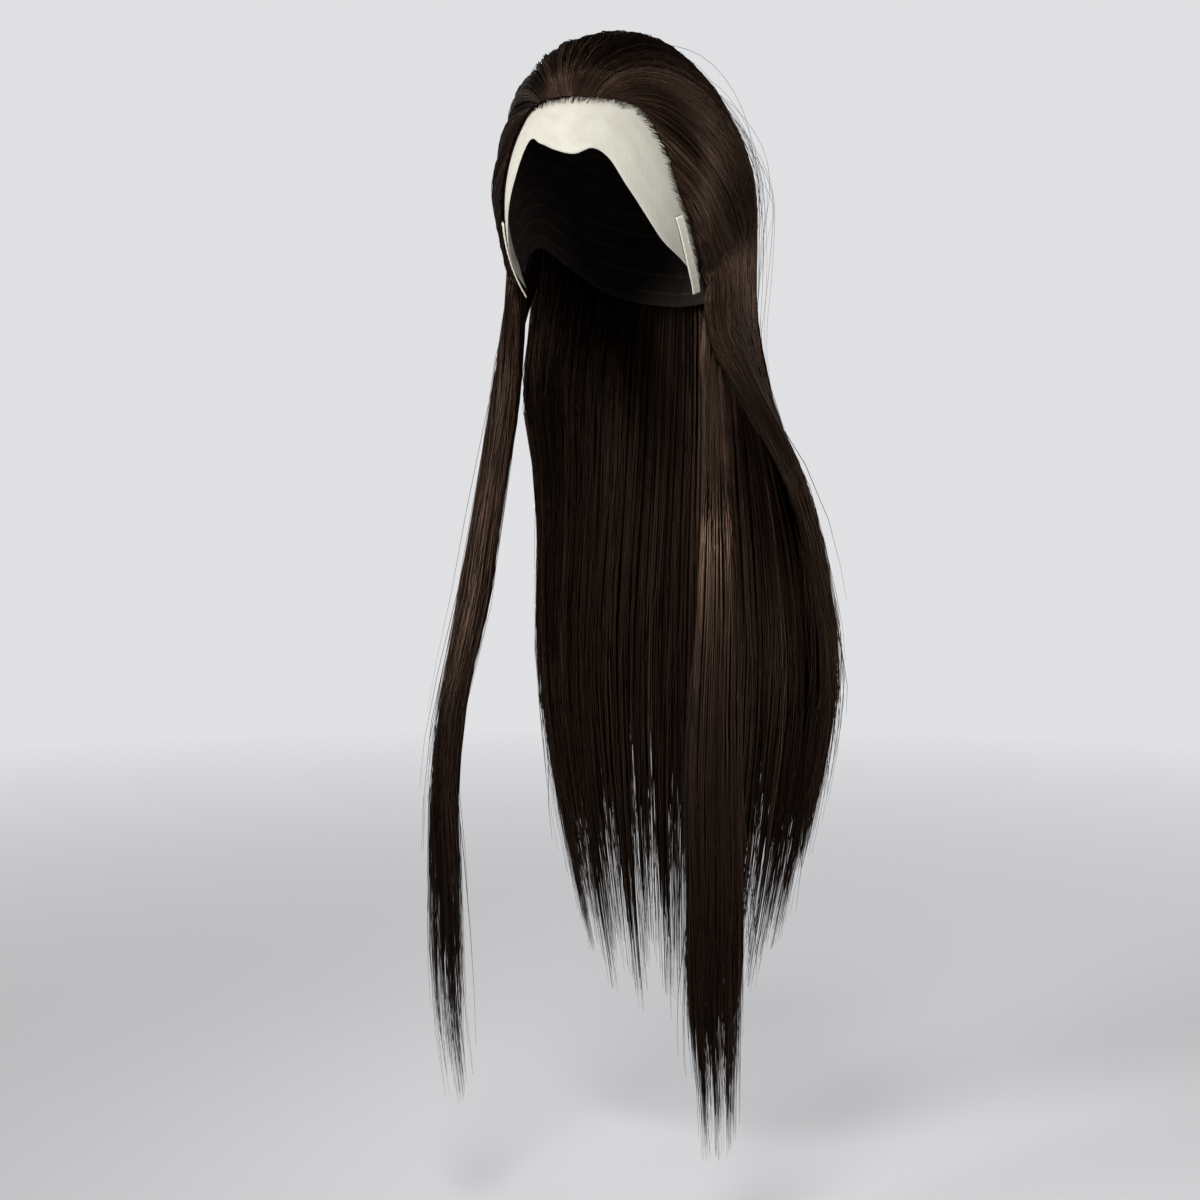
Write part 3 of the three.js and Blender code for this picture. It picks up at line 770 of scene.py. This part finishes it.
def strand_maker():
    """Turns lines into thin tapered strands, with a map of each strand's shade and length."""
    maker = Maker("strands", {"Sides": "Int", "Shade spread": "Float"})
    lines = maker.add("GeometryNodeMeshToCurve", None, {"Mesh": maker.input("Lines")})
    sockets = {"Resolution": maker.input("Sides"), "Radius": 1.0}
    ring = maker.add("GeometryNodeCurvePrimitiveCircle", None, sockets)
    index = maker.add("GeometryNodeInputIndex")
    ring = maker.store(ring, "corner", index, {"data_type": "FLOAT", "domain": "POINT"})
    sockets = {"Curve": lines, "Profile Curve": ring, "Scale": maker.named("girth"), "Fill Caps": True}
    tubes = maker.add("GeometryNodeCurveToMesh", None, sockets)
    shade = maker.named("tone") + (maker.named("corner") - 1.0) * maker.input("Shade spread")
    place = maker.add("ShaderNodeCombineXYZ", None, {"X": shade, "Y": maker.named("along")})
    for title in ("strand", "OFBake"):
        tubes = maker.store(tubes, title, place, {"data_type": "FLOAT2", "domain": "CORNER"})
    for spare in ("corner", "girth", "tone", "along"):
        tubes = maker.add("GeometryNodeRemoveAttribute", None, {"Geometry": tubes, "Name": spare})
    maker.end(tubes)
    return maker


def stitch_maker():
    """Lays short stitches of thread end to end, with gaps, along lines."""
    maker = Maker("stitches", {"Count": "Int", "Length": "Float", "Width": "Float"})
    lines = maker.add("GeometryNodeMeshToCurve", None, {"Mesh": maker.input("Lines")})
    sockets = {"Curve": lines, "Count": maker.input("Count")}
    places = maker.add("GeometryNodeCurveToPoints", {"mode": "COUNT"}, sockets, "Points")
    bead = maker.add("GeometryNodeMeshUVSphere", None, {"Segments": 8, "Rings": 6, "Radius": 0.5}, "Mesh")
    width = maker.input("Width")
    size = maker.add("ShaderNodeCombineXYZ", None, {"X": width, "Y": width, "Z": maker.input("Length")})
    sockets = {"Points": places, "Instance": bead, "Rotation": places.beside("Rotation"), "Scale": size}
    maker.end(maker.add("GeometryNodeInstanceOnPoints", None, sockets))
    return maker


strands_on = strand_maker()
stitches_on = stitch_maker()


def bare_lines(name, bundles):
    """A mesh of bare lines, from arrays of points (lines, stops, 3) in millimetres."""
    edges, first = [], 0
    for points in bundles:
        count, stops = points.shape[:2]
        number = first + np.arange(count * stops).reshape(count, stops)
        edges.append(np.stack([number[:, :-1], number[:, 1:]], -1).reshape(-1, 2))
        first += count * stops
    points = np.concatenate([points.reshape(-1, 3) for points in bundles]) * MM
    mesh = bpy.data.meshes.new(name + "_lines")
    mesh.from_pydata(points.tolist(), np.concatenate(edges).tolist(), [])
    return mesh


def strand_piece(name, bundles):
    """One piece of strands. A bundle holds their points, the girth at each point and the tone of each."""
    mesh = bare_lines(name, [bundle["points"] for bundle in bundles])
    girth, tone, along = [], [], []
    for bundle in bundles:
        count, stops = bundle["points"].shape[:2]
        girth.append(bundle["girth"].reshape(-1) * MM)
        tone.append(np.repeat(bundle["tone"], stops))
        along.append(np.tile(np.linspace(0.02, 0.98, stops), count))
    for title, values in (("girth", girth), ("tone", tone), ("along", along)):
        kept = mesh.attributes.new(title, "FLOAT", "POINT")
        kept.data.foreach_set("value", np.concatenate(values).astype(np.float32))
    return strands_on.piece(name, mesh, STRAND_INPUTS)


def stitch_piece(name, side):
    """Two rows of stitches along an ear tab."""
    across, along = grid(1, STITCH["steps"], STITCH["rows"], STITCH["ends"])
    lines = on_tab(side, across, along, TAB["outside"])
    return stitches_on.piece(name, bare_lines(name, [lines]), STITCH_INPUTS)


# How strands lie. Wisps are the narrow bunches that they draw into, and stops are shares along a strand.

WISP = {
    "width": (0.35, 1.65), "draw": (0.4, 1.25), "grouped": 4, "own_shade": 0.6, "group_shade": 0.4,
    "wobbles": 7, "deep": 0.12, "round": 0.3,
}
STRAND = {
    "uneven_power": 1.2, "own_sway": 0.3, "wisp_sway": 0.7, "sway": (0.5, 1), "deep": (0, 0.06),
    "wander": 0.04, "wanders": 6, "late": (0.0, 0.02), "late_layer": 0.45, "late_rise": (0.0, 0.1),
    "thins": (0.84, 1.0), "root": 0.5, "thickens": (0.0, 0.06), "wisp_tone": 0.42,
}
# How far tips spread, in millimetres: whether it is only a few of them, the axis, the spread and the most
TIP_SPREAD = [(True, 0, 9, 14), (True, 1, 4.5, 8), (False, 0, 1.6, 4), (False, 1, 1.2, 3)]
TIPS = {"few": 6, "few_from": (0.55, 1.0), "all_from": (0.5, 1.0)}
# Kinds of strand. A girth is a radius in millimetres, with the share of it at the tip.
COMBED = {"girth": (0.2, 0.32), "tip": 0.3, "uneven_tone": 0.17}
FUZZ = {
    "girth": (0.09, 0.16), "tip": 0.35, "tone": 0.42, "uneven_tone": 0.16, "stops": 6, "length": (9, 24),
    "lift": (1.0, 4.5), "lifting": 1.3, "before": 6.5, "before_power": 2.2, "aside": 1.2, "step": 0.004,
}
FLYAWAY = {
    "girth": (0.12, 0.2), "tip": 0.5, "tone": 0.4, "uneven_tone": 0.15, "stops": 16, "length": (0.16, 0.34),
    "wobbles": 4, "wander": 0.02, "least": 0.25, "end": 0.95, "arch": 1.2,
}
STRAY = {
    "girth": (0.13, 0.22), "tip": 0.35, "tone": 0.38, "uneven_tone": 0.16, "stops": 14, "last": (0.86, 1.0),
    "layer": (0.2, 0.9), "leaves": (0.0, 0.75), "wobbles": 6, "wave": 0.9, "curl": 2.2,
    "curls": (0.55, 1.0), "thins": (0.6, 1.0), "step": 0.05,
}
TONES = (0.03, 0.97)
EVEN_ROWS = (0.0, 0.62)


def drawn(span, count):
    """A number between two for each strand."""
    return random.uniform(*span, (count, 1))


def even_stops(kind):
    return np.linspace(0, 1, kind["stops"])[None, :]


def bundle_of(points, kind, thinning, shade=0):
    """Strands of one kind. Their thinning goes from 0 to 1 along them, and a shade may be added to each."""
    count = len(points)
    girth = drawn(kind["girth"], count) * lerp(1, kind["tip"], thinning)
    uneven = random.normal(0, kind["uneven_tone"], count)
    return {"points": points, "girth": girth, "tone": np.clip(kind["tone"] + shade + uneven, *TONES)}


def wobbles(count, number):
    return random.uniform(-1, 1, (count, number))


def slow_wander(values, place):
    """Smooth changes along each strand, from a row of values for each and places from 0 to 1 along it."""
    number = values.shape[1]
    place = np.clip(place, 0, 1) * (number - 1)
    low = np.clip(place.astype(int), 0, number - 2)
    rows = np.arange(len(values))[:, None]
    return lerp(values[rows, low], values[rows, low + 1], smooth(place - low, 0, 1))


def even_homes(sheet, places):
    """Shares across a sheet, for places from 0 to 1, that are even along its hairline and its fall."""
    columns = np.linspace(0, 1, sheet.columns + 1)
    total = np.zeros(sheet.columns)
    for row in EVEN_ROWS:
        line = sheet.at(columns, np.full_like(columns, row), np.ones_like(columns))
        steps = np.linalg.norm(np.diff(line, axis=0), axis=1)
        total += steps / steps.sum() / len(EVEN_ROWS)
    return np.interp(places, np.concatenate([[0], np.cumsum(total)]), columns)


def wisps_at(place, number):
    """What each strand takes from its wisp: middle, width, shade, how it draws together, lift and sway."""
    bounds = np.concatenate([[0], np.cumsum(random.uniform(*WISP["width"], number))])
    bounds = bounds / bounds[-1]
    wisp = np.clip(np.searchsorted(bounds, place, side="right") - 1, 0, number - 1)
    group_shade = random.uniform(-1, 1, number // WISP["grouped"] + 1)[wisp // WISP["grouped"]]
    own_shade = random.uniform(-1, 1, number)[wisp]
    return {
        "middle": (bounds[wisp] + bounds[wisp + 1]) / 2,
        "width": bounds[wisp + 1] - bounds[wisp],
        "shade": own_shade * WISP["own_shade"] + group_shade * WISP["group_shade"],
        "draw": random.uniform(*WISP["draw"], number)[wisp],
        "lift": random.uniform(0, 1, number)[wisp],
        "sway": wobbles(number, WISP["wobbles"])[wisp],
    }


def layers_of(spec, wisp, place, late, stops, along):
    """The layer that each strand runs in. One that starts late comes up out of the mass of hair."""
    count = len(place)
    outer = random.uniform(0, 1, count) < spec["outer"]
    off = np.abs(place - wisp["middle"]) / wisp["width"]
    top = 1 - WISP["deep"] * wisp["lift"] - WISP["round"] * off - random.uniform(*STRAND["deep"], count)
    layer = np.where(outer, top, random.uniform(*spec["inner"], count))[:, None]
    layer = layer + STRAND["wander"] * slow_wander(wobbles(count, STRAND["wanders"]), along)
    return lerp(layer, STRAND["late_layer"], late * (1 - smooth(stops, *STRAND["late_rise"])))


def spread_tips(points, stops):
    """Spreads the tips sideways, all of them a little and a few of them further."""
    count = len(points)
    few = drawn((0, 1), count) ** TIPS["few"] * smooth(stops, *TIPS["few_from"]) ** 2
    every = smooth(stops, *TIPS["all_from"]) ** 2
    for only_few, axis, spread, most in TIP_SPREAD:
        reach = np.clip(random.normal(0, spread, (count, 1)), -most, most)
        points[..., axis] += (few if only_few else every) * reach


def combed(sheet, spec):
    """Strands laid over a sheet from root to tip. They draw together into wisps as they fall."""
    count = spec["count"]
    low, high = spec["between"]
    place = low + (high - low) * (np.arange(count) + random.uniform(0, 1, count)) / count
    wisp = wisps_at(place, spec["wisps"])
    home = even_homes(sheet, place)[:, None]
    middle = even_homes(sheet, wisp["middle"])[:, None]
    rooted = drawn((0, 1), count) < spec["rooted"]
    first = np.where(rooted, 0.0, drawn(spec["later"], count))
    last = 1 - spec["uneven"] * drawn((0, 1), count) ** STRAND["uneven_power"]
    stops = np.asarray(spec["stops"])[None, :]
    along = lerp(first, last, stops)
    falling = smooth(along, spec["fall"], 1.0)
    gather = lerp(*spec["gather"], falling) * wisp["draw"][:, None]
    sway = slow_wander(wobbles(count, WISP["wobbles"]), along) * STRAND["own_sway"]
    sway = sway + slow_wander(wisp["sway"], along) * STRAND["wisp_sway"]
    across = lerp(home, middle, gather) + sway * lerp(*STRAND["sway"], falling) / spec["wisps"]
    late = smooth(first, *STRAND["late"])
    points = sheet.at(across, along, layers_of(spec, wisp, place, late, stops, along))
    spread_tips(points, stops)
    kind = {**COMBED, "tone": spec["tone"]}
    bundle = bundle_of(points, kind, smooth(stops, *STRAND["thins"]), STRAND["wisp_tone"] * wisp["shade"])
    bundle["girth"] = bundle["girth"] * lerp(STRAND["root"], 1, smooth(stops, *STRAND["thickens"]))
    return bundle


def along_hairline(shares):
    """Places across the combing that are even along the hairline, for shares from 0, right, to 1, left."""
    across, line = hairline(LACE_TOP, HAIRLINE["even"])
    run = np.concatenate([[0], np.cumsum(np.linalg.norm(np.diff(line, axis=0), axis=1))])
    return np.interp(shares, run / run[-1], across)


def hairline_fuzz(count):
    """Short hairs along the hairline, which start on the lace and lie back into the longer hair."""
    across = along_hairline(drawn((0, 1), count))
    still = np.zeros_like(across)
    root = over_head(LACE_TOP, across, still)
    out = unit(over_head(LACE_TOP + 1, across, still) - root)
    step = FUZZ["step"]
    ends = [over_head(LACE_TOP, np.clip(across + way * step, -1, 1), still) for way in (1, -1)]
    beside = unit(ends[0] - ends[1])
    forward = unit(np.cross(beside, out))
    reach = np.linalg.norm(over_head(LACE_TOP, across, still + 1) - root, axis=-1)
    stops = even_stops(FUZZ)
    along = drawn(FUZZ["length"], count) / reach * stops
    lift = drawn(FUZZ["lift"], count) * stops ** FUZZ["lifting"]
    points = over_head(LACE_TOP, across + 0 * stops, along) + out * lift[..., None]
    before = drawn((0, 1), count) ** FUZZ["before_power"] * FUZZ["before"] * (1 - stops) ** 2
    aside = random.normal(0, FUZZ["aside"], (count, 1)) * stops
    points = points + forward * before[..., None] + beside * aside[..., None]
    return bundle_of(points, FUZZ, stops)


def flyaways(count, between, starts, reach):
    """Single hairs that stand off the outside of the swept hair and come back to it."""
    across = drawn(between, count)
    first = drawn(starts, count)
    last = first + drawn(FLYAWAY["length"], count)
    stops = even_stops(FLYAWAY)
    along = lerp(first, last, stops)
    wander = slow_wander(wobbles(count, FLYAWAY["wobbles"]), stops + 0 * across)
    points = swept.at(across + FLYAWAY["wander"] * wander, along, np.ones_like(along))
    out = unit(swept.read(swept.out, across + 0 * stops, along))
    arch = np.sin(math.pi * np.minimum(stops, FLYAWAY["end"])) ** FLYAWAY["arch"]
    stand = drawn((reach * FLYAWAY["least"], reach), count) * arch
    return bundle_of(points + out * stand[..., None], FLYAWAY, stops)


def strays(sheet, count, edge, leave, drift):
    """Single hairs that leave a sheet near an edge on their way down, drift sideways and hang beside it."""
    across = drawn(edge, count)
    first = drawn(leave, count)
    last = drawn(STRAY["last"], count)
    stops = even_stops(STRAY)
    along = lerp(first, last, stops)
    here = across + 0 * stops
    points = sheet.at(here, along, drawn(STRAY["layer"], count) + 0 * stops)
    ends = [sheet.at(np.clip(here + way * STRAY["step"], 0, 1), along, 0.5) for way in (1, -1)]
    away = drawn(drift, count) * smooth(stops, *STRAY["leaves"])
    curl = random.normal(0, STRAY["curl"], (count, 1)) * smooth(stops, *STRAY["curls"]) ** 2
    wave = STRAY["wave"] * slow_wander(wobbles(count, STRAY["wobbles"]), stops + 0 * across) * stops
    points = points + unit(ends[0] - ends[1]) * (away + curl + wave)[..., None]
    return bundle_of(points, STRAY, smooth(stops, *STRAY["thins"]))


# The cap, the lace and the tabs

cap = cap_piece()
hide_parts("cap")
lace_front = lace_piece()
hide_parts("lace_front")
tabs = []
for side, word in ((1, "left"), (-1, "right")):
    tab = tab_piece("ear_tab_" + word + "_tape", side)
    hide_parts("ear_tab_" + word)
    tabs += [tab, stitch_piece("ear_tab_" + word + "_stitches", side)]


# The hair: a mass inside each sheet, strands over it, and loose hairs

HEAD_STOPS = [0.0, 0.006, 0.018, 0.04, 0.08, 0.13, 0.18, 0.23, 0.28, 0.33, 0.38, 0.43, 0.48, 0.53]
FALL_STOPS = [0.58, 0.64, 0.71, 0.78, 0.85, 0.91, 0.96, 1.0]
ENDS_STOPS = [0.0, 0.06, 0.16, 0.28, 0.42, 0.56, 0.7, 0.82, 0.92, 1.0]
HANGING_STOPS = [0.0, 0.04, 0.09, 0.14, 0.2, 0.26, 0.33, 0.41, 0.5, 0.6, 0.7, *FALL_STOPS[3:]]
SWEPT_SPEC = {
    "count": 1080, "between": (0.0, 1.0), "stops": HEAD_STOPS + FALL_STOPS, "wisps": 150,
    "gather": (0.32, 0.6), "fall": 0.5, "rooted": 0.84, "later": (0.02, 0.3), "uneven": 0.22,
    "outer": 0.86, "inner": (0.0, 0.8), "tone": 0.45,
}
ENDS_SPEC = {
    **SWEPT_SPEC, "count": 1900, "stops": ENDS_STOPS, "gather": (0.3, 0.35), "rooted": 0.0,
    "later": (0.52, 0.7), "uneven": 0.2, "outer": 0.5,
}
# The strands on the inside of the back hair have a darker tone, which is painted shade
INSIDE_SPEC = {
    **SWEPT_SPEC, "count": 800, "stops": ENDS_STOPS, "rooted": 0.0, "later": (0.47, 0.52), "outer": 0.0,
    "inner": (-0.03, 0.1), "tone": 0.26,
}
RIGHT_SPEC = {**SWEPT_SPEC, "count": 800, "wisps": 40, "uneven": 0.24}
LEFT_SPEC = {
    **SWEPT_SPEC, "count": 800, "stops": HANGING_STOPS, "wisps": 24, "fall": 0.1, "rooted": 1.0,
    "uneven": 0.26, "outer": 0.6,
}

crown_mass = mass_piece("hair_mass_swept", swept, (0.1, 0.66), 0.01, (0.79, 0.975))
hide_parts("crown_hair", "back_hair")
hair_pieces = [crown_mass]
for word, between in (("right", (0.0, 0.3)), ("middle", (0.3, 0.66)), ("left", (0.66, 1.0))):
    bundle = combed(swept, {**SWEPT_SPEC, "between": between})
    hair_pieces.append(strand_piece("hair_swept_" + word, [bundle]))
ends = [combed(swept, ENDS_SPEC), combed(swept, INSIDE_SPEC)]
hair_pieces.append(strand_piece("hair_swept_ends", ends))

right_mass = mass_piece("hair_mass_right_lock", right, (0.1, 0.66), 0.01, (0.76, 0.98))
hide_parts("front_lock_right")
hair_pieces += [right_mass, strand_piece("hair_right_lock", [combed(right, RIGHT_SPEC)])]

left_mass = mass_piece("hair_mass_left_lock", left, (0.1, 0.78), 0.0, (0.7, 0.98))
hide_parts("front_lock_left")
hair_pieces += [left_mass, strand_piece("hair_left_lock", [combed(left, LEFT_SPEC)])]

loose = [
    hairline_fuzz(1900),
    flyaways(26, (0.62, 0.86), (0.12, 0.4), 13),
    flyaways(22, (0.02, 0.3), (0.15, 0.45), 7),
    strays(left, 46, (0.0, 0.08), (0.3, 0.62), (-13, -1)),
    strays(left, 22, (0.92, 1.0), (0.35, 0.75), (0.5, 6)),
    strays(right, 24, (0.92, 1.0), (0.5, 0.8), (1, 14)),
    strays(right, 22, (0.0, 0.08), (0.5, 0.8), (-9, -0.5)),
    strays(swept, 40, (0.93, 1.0), (0.5, 0.78), (0.5, 7)),
    strays(swept, 36, (0.0, 0.07), (0.5, 0.78), (-7, -0.5)),
]
hair_pieces.append(strand_piece("hair_loose", loose))


# Riding: every piece is attached to the root body


for finish, pieces in (("net", [cap]), ("lace", [lace_front]), ("ribbon", tabs), ("hair", hair_pieces)):
    for piece in pieces:
        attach(piece, "root")


# Stage, light and camera, in metres

FLOOR = {"down": 0.84, "radius": 9.0, "sides": 128, "glow": 0.41, "fades": (0.7, 2.6)}
FLOOR_TONES = [(0.2, (0.50, 0.50, 0.51)), (0.8, (0.53, 0.53, 0.54))]
WALL = (0.745, 0.747, 0.765)
ROOM_TONES = [(0.3, (0.42, 0.42, 0.43)), (0.85, WALL)]
CEILING = {"from": 0.17, "to": 0.42, "dim": 0.16}
UNSEEN_ROOM = 0.55
# Name, place, target, size, power in watts and spread in degrees
LIGHTS = [
    ("key_light", (-0.64, -1.46, 0.14), (0, 0, -0.2), 0.6, 4.4, 55),
    ("fill_light", (1.5, -0.55, -0.55), (0, 0, -0.15), 0.6, 3.0, 90),
    ("top_light", (0.25, -1.0, 1.2), (0.05, -0.05, -0.25), 0.5, 3.6, 80),
    ("back_light", (-0.95, 1.5, -0.42), (0, 0.05, -0.22), 0.5, 2.6, 50),
]
# The focal length, and how far the view is turned aside and down, are in pixels of the image
CAMERA = {
    "azimuth": 28.0, "distance": 1.7, "height": -0.24, "sensor": 36, "near": 0.05, "far": 60,
    "focal": 2377.6, "image": 1200, "aside": 25, "down": 213,
}


def aim(thing, way):
    thing.rotation_euler = way.to_track_quat("-Z", "Y").to_euler()


def floor_piece():
    """A wide floor that fades out into the wall."""
    work = bmesh.new()
    bmesh.ops.create_circle(work, cap_ends=True, segments=FLOOR["sides"], radius=FLOOR["radius"])
    mesh = bpy.data.meshes.new("floor")
    work.to_mesh(mesh)
    work.free()
    mesh.transform(Matrix.Translation((0, 0, -FLOOR["down"])))
    floor = piece_of("floor", mesh)
    finish = Finish("pale_floor")
    place = finish.object_place()
    cloudy = finish.solid_noise(place, 1.5)
    finish.set(Base_Color=finish.ramp(cloudy, FLOOR_TONES), Roughness=0.9, Specular_IOR_Level=0.1)
    finish.set(Emission_Color=(*WALL, 1), Emission_Strength=FLOOR["glow"])
    far = finish.add("ShaderNodeVectorMath", {"operation": "LENGTH"}, {0: place}, "Value")
    floor.data.materials.append(finish.set(Alpha=1 - finish.share(far, *FLOOR["fades"])))


def studio_world():
    """A pale wall behind, a dimmer room in front and a dim ceiling. They light less than they show."""
    world = bpy.data.worlds.new("studio")
    bpy.context.scene.world = world
    world.use_nodes = True
    nodes = Nodes(world.node_tree)
    place = nodes.add("ShaderNodeTexCoord", None, None, "Generated")
    turn = math.radians(CAMERA["azimuth"])
    sockets = {0: place, 1: (-math.sin(turn), math.cos(turn), 0)}
    facing = nodes.add("ShaderNodeVectorMath", {"operation": "DOT_PRODUCT"}, sockets, "Value")
    height = nodes.add("ShaderNodeSeparateXYZ", None, {0: place}, "Z")
    dim = nodes.share(height, CEILING["from"], CEILING["to"], 1.0, CEILING["dim"])
    seen = nodes.add("ShaderNodeLightPath", None, None, "Is Camera Ray")
    background = nodes.tree.nodes["Background"].inputs
    nodes.tie(background["Color"], nodes.ramp(facing, ROOM_TONES))
    nodes.tie(background["Strength"], dim * nodes.share(seen, 0.0, 1.0, UNSEEN_ROOM, 1.0))


def area_light(name, place, target, size, power, spread):
    light = bpy.data.lights.new(name, "AREA")
    light.shape = "DISK"
    light.size = size
    light.energy = power
    light.spread = math.radians(spread)
    lamp = piece_of(name, light)
    lamp.location = place
    aim(lamp, Vector(target) - Vector(place))


def photo_camera():
    data = bpy.data.cameras.new("camera")
    data.sensor_width = CAMERA["sensor"]
    data.lens = CAMERA["sensor"] * CAMERA["focal"] / CAMERA["image"]
    data.clip_start, data.clip_end = CAMERA["near"], CAMERA["far"]
    camera = piece_of("camera", data)
    turn = math.radians(CAMERA["azimuth"])
    yaw = turn + math.atan(CAMERA["aside"] / CAMERA["focal"])
    pitch = -math.atan(CAMERA["down"] / CAMERA["focal"])
    away = CAMERA["distance"]
    camera.location = (math.sin(turn) * away, -math.cos(turn) * away, CAMERA["height"])
    level = math.cos(pitch)
    aim(camera, Vector((-math.sin(yaw) * level, math.cos(yaw) * level, math.sin(pitch))))
    bpy.context.scene.camera = camera


floor_piece()
studio_world()
for light in LIGHTS:
    area_light(*light)
bpy.context.scene.view_settings.view_transform = "Standard"
photo_camera()
